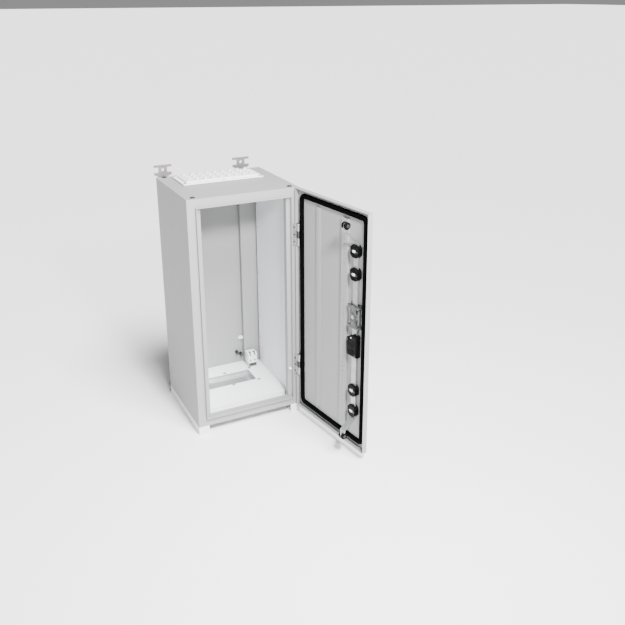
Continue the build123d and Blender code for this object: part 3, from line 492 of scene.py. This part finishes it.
finish_nodes(shell_paint, "door_panel", "door_stiffener", "door_perforated_rail")
pivot = Vector((149, -145, 0))
door_open = Matrix.Rotation(math.radians(98), 4, "Z")
door_turn = Matrix.Translation(pivot) @ door_open @ Matrix.Translation(-pivot)
SKIN = -150.5


def door_seat(x, z, h):
    return Vector((x, SKIN + h, z))


def gasket_bead(bm):
    """Domed bead with a slightly wavy crown, as poured foam sets."""
    random.seed(4)
    loop = rounded_loop(-136.5, 136.5, 43.5, 656.5, 12.0, 10)
    dense = []
    for here, after in zip(loop, loop[1:] + loop[:1]):
        dense.append(here)
        steps = int(math.dist(here[0], after[0]) / 12)
        for k in range(1, steps):
            t = k / steps
            spot = tuple(a + t * (b - a) for a, b in zip(here[0], after[0]))
            dense.append((spot, here[1]))
    profile = [(-6.5, 0.0)]
    for k in range(-11, 12):
        t = k / 11.5
        profile.append((6.45 * t, 7.9 * (1 - abs(t) ** 3.6) ** 0.36))
    profile.append((6.5, 0.0))
    swept_loop(bm, dense, profile, door_seat)
    for vert in bm.verts:
        lift = vert.co.y - SKIN
        if lift > 4:
            vert.co.y += random.uniform(-0.12, 0.06)


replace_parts(piece("gasket_bead", "door", gasket_black, gasket_bead, door_turn, sharp=60),
            "door_gasket")


def door_spot_welds(bm):
    """Weld marks along both flanges of the stiffener."""
    for x in (55.5, 72.5):
        for k in range(11):
            lathe(bm, [(1.9, -0.1), (1.9, 0.06), (1.4, 0.14), (0.9, 0.04), (0, 0.02)], (0, 1, 0),
                  (x, SKIN + 1.5, 75 + 55 * k), 14)


piece("door_spot_welds", "door", shell_paint, door_spot_welds, door_turn)

# ---- rod guides ----------------------------------------------------------------------
# Four black moulded guides screwed to the door that carry the two lock rods.  Each has a
# small white slide set in its face.

black_plastic = moulded("black_plastic", (0.0024, 0.0025, 0.0027, 1), (0.0015, 0.0016, 0.0017, 1),
                        0.42, 1400.0, 0.07)
finish_nodes(black_plastic, "rod_guides")
finish_nodes(dark_steel, "guide_screws")
guide_levels = (130, 190, 510, 570)
ROD = -104.567


def guide_inserts(bm):
    """Small white slide set in each guide, dished in its middle."""
    for z in guide_levels:
        loop = rounded_loop(ROD - 4.6, ROD + 4.6, z - 1.6, z + 2.2, 1.4, 4)
        rings = [[bm.verts.new(door_seat(a + na * s, b + nb * s, h)) for (a, b), (na, nb) in loop]
                 for s, h in ((1.2, 13.6), (1.2, 14.5), (0.9, 14.8), (-0.3, 14.8), (-0.6, 14.5))]
        for low, high in zip(rings, rings[1:]):
            for k in range(len(low)):
                after = (k + 1) % len(low)
                bm.faces.new((low[k], low[after], high[after], high[k]))
        bm.faces.new(rings[-1])


piece("guide_inserts", "door", white_plastic, guide_inserts, door_turn)


def guide_ribs(bm):
    """Moulded ribs along the sloping ends of the guides."""
    for z in guide_levels:
        for side in (-1, 1):
            for k in (-1, 0, 1):
                x = ROD + 4.6 * k
                end = z + side * 12.4
                bar(bm, x - 0.5, x + 0.5, SKIN + 13.7, SKIN + 14.5, end - 1.6, end + 1.6)


piece("guide_ribs", "door", black_plastic, guide_ribs, door_turn, round_off=0.2)

# ---- lock rods and rollers -----------------------------------------------------------
# Two zinc plated flat bars with a rack at one end and a joggled lug at the other.  Each
# lug carries a pin with two moulded rollers that run behind the frame's edge.

finish_nodes(zinc, "lower_lock_rod", "upper_lock_rod")
finish_nodes(dark_steel, "lower_roller_pin", "upper_roller_pin")
finish_nodes(black_plastic, "lower_rollers", "upper_rollers")


def roller_rims(z):
    """Raised tread ring on the outer faces of a pair of rollers."""
    def build(bm):
        for side in (-1, 1):
            lathe(bm, [(8.0, -0.2), (8.0, 0.15), (7.6, 0.3), (7.0, 0.3), (6.7, 0.0), (6.7, -0.2)],
                  (side, 0, 0), (ROD + side * 7.5, -111, z), 32)
    return build


for side, z in (("lower", 65.2), ("upper", 640.3)):
    piece(side + "_roller_rims", side + "_roller", black_plastic, roller_rims(z),
          door_turn)

# ---- lock gear and case --------------------------------------------------------------
# Zinc plated carrier with a bridge over the pinion, which drives both racks, and below
# it a black moulded case round the lower rod and the key barrel.

greased_zinc = zinc_plate("greased_zinc", (0.26, 0.262, 0.265, 1), (0.015, 0.015, 0.016, 1),
                          (0.05, 0.047, 0.042, 1), 0.32)
finish_nodes(greased_zinc, "gear_plate")
finish_nodes(steel_grey, "lock_pinion", "handle_spindle", "lock_barrel")
finish_nodes(dark_steel, "lock_case_screws")
finish_nodes(black_plastic, "lock_case")
GEAR = 397


def gear_details(bm):
    """Riveted ends of the posts and a rolled bead on the bridge."""
    for sx in (-1, 1):
        for sz in (-1, 1):
            lathe(bm, [(2.8, -0.1), (2.8, 0.3), (2.3, 0.8), (1.2, 1.1), (0, 1.15)], (0, 1, 0),
                  (ROD + sx * 19.433, SKIN + 13.5, GEAR + sz * 27), 20)
    lathe(bm, [(9.2, -0.2), (9.2, 0.35), (8.8, 0.6), (7.4, 0.6), (7.0, 0.3), (7.0, -0.2)], (0, 1, 0),
          (ROD, SKIN + 15.5, GEAR), 32)


piece("gear_details", "door", greased_zinc, gear_details, door_turn, sharp=50)


def case_details(bm):
    """Raised rim and ribs moulded on the face of the lock case."""
    high = SKIN + 15
    for k in range(4):
        bar(bm, -112, -90, high - 0.3, high + 0.5, 296 + 3.2 * k, 297.2 + 3.2 * k)
    loop = rounded_loop(-112, -92, 318, 332, 3.0)
    swept_loop(bm, loop, [(-0.6, 14.8), (-0.4, 15.5), (0.4, 15.5), (0.6, 14.8)], door_seat)


piece("case_details", "door", black_plastic, case_details, door_turn, round_off=0.15)


def case_button(bm):
    """White marker button pressed into the top of the case."""
    lathe(bm, [(1.8, -0.3), (1.8, 0.4), (1.5, 0.6), (0, 0.7)], (0, 1, 0), (-100, SKIN + 15, 339), 20)


piece("case_button", "door", white_plastic, case_button, door_turn)

# ---- handle --------------------------------------------------------------------------
# Black moulded lever on the outside of the door, on a plate that also frames the key
# barrel.  A quarter turn of the lever drives the rods.

finish_nodes(black_plastic, "handle_escutcheon", "handle_lever")


def lever_grip(bm):
    """Finger ribs along the lever's front face and a raised cap over the spindle."""
    face = -173.0
    for k in range(7):
        x = -48 + 7 * k
        bar(bm, x - 1.1, x + 1.1, face - 0.55, face + 0.4, GEAR - 6.5, GEAR + 6.5)
    lathe(bm, [(7.4, -0.2), (7.4, 0.3), (7.0, 0.7), (5.6, 0.8), (5.2, 0.5), (0, 0.4)], (0, -1, 0),
          (ROD, face, GEAR), 32)


piece("lever_grip", "handle", black_plastic, lever_grip, door_turn, round_off=0.3)


def escutcheon_rings(bm):
    """Raised ring on the plate, round the key barrel."""
    face = -158.0
    barrel_level = 315
    lathe(bm, [(9.6, -0.2), (9.6, 0.6), (9.1, 1.0), (7.4, 1.0), (6.9, 0.6), (6.9, -0.2)], (0, -1, 0),
          (ROD + 16.5, face, barrel_level), 36)


piece("escutcheon_rings", "door", black_plastic, escutcheon_rings, door_turn)

# ---- studio --------------------------------------------------------------------------
# Pale seamless floor, one large soft key from the front and above, a soft panel that looks
# into the opening, an even sky, and the camera above the roof looking down at the door.


def studio_floor():
    mesh = bpy.data.meshes.new("studio_floor")
    mesh.from_pydata([(-60, -60, 0), (60, -60, 0), (60, 60, 0), (-60, 60, 0)], [], [(0, 1, 2, 3)])
    made = bpy.data.objects.new("studio_floor", mesh)
    bpy.context.scene.collection.objects.link(made)
    finish, _ = new_finish("floor_white")
    set_surface(finish, {"Base Color": (0.93, 0.93, 0.93, 1), "Roughness": 0.9, "Specular IOR Level": 0.1})
    mesh.materials.append(finish)


studio_floor()
sky = bpy.data.worlds.new("sky")
sky.use_nodes = True
sky.node_tree.nodes["Background"].inputs["Color"].default_value = (1.0, 1.0, 1.0, 1)
sky.node_tree.nodes["Background"].inputs["Strength"].default_value = 0.30
bpy.context.scene.world = sky

key_light = bpy.data.lights.new("key_light", "SUN")
key_light.energy = 9.5
key_light.angle = math.radians(28)
key = bpy.data.objects.new("key_light", key_light)
key.rotation_euler = Vector((0.13, -0.55, 0.85)).to_track_quat("Z", "Y").to_euler()
bpy.context.scene.collection.objects.link(key)

panel_light = bpy.data.lights.new("panel_light", "AREA")
panel_light.shape = "DISK"
panel_light.size = 0.2
panel_light.energy = 54.0
panel = bpy.data.objects.new("panel_light", panel_light)
panel.location = (-0.05, -1.25, 1.28)
panel.rotation_euler = (panel.location - Vector((0.16, -0.12, 0.35))).to_track_quat("Z", "Y").to_euler()
bpy.context.scene.collection.objects.link(panel)

camera_data = bpy.data.cameras.new("camera")
camera_data.lens = 43.37
camera_data.shift_y = -0.08
camera_data.clip_start = 0.05
camera = bpy.data.objects.new("camera", camera_data)
camera.location = (-0.689, -1.890, 1.160)
camera.rotation_euler = (math.radians(90 - 19.74), 0.0, math.radians(-26.76))
bpy.context.scene.collection.objects.link(camera)
bpy.context.scene.camera = camera
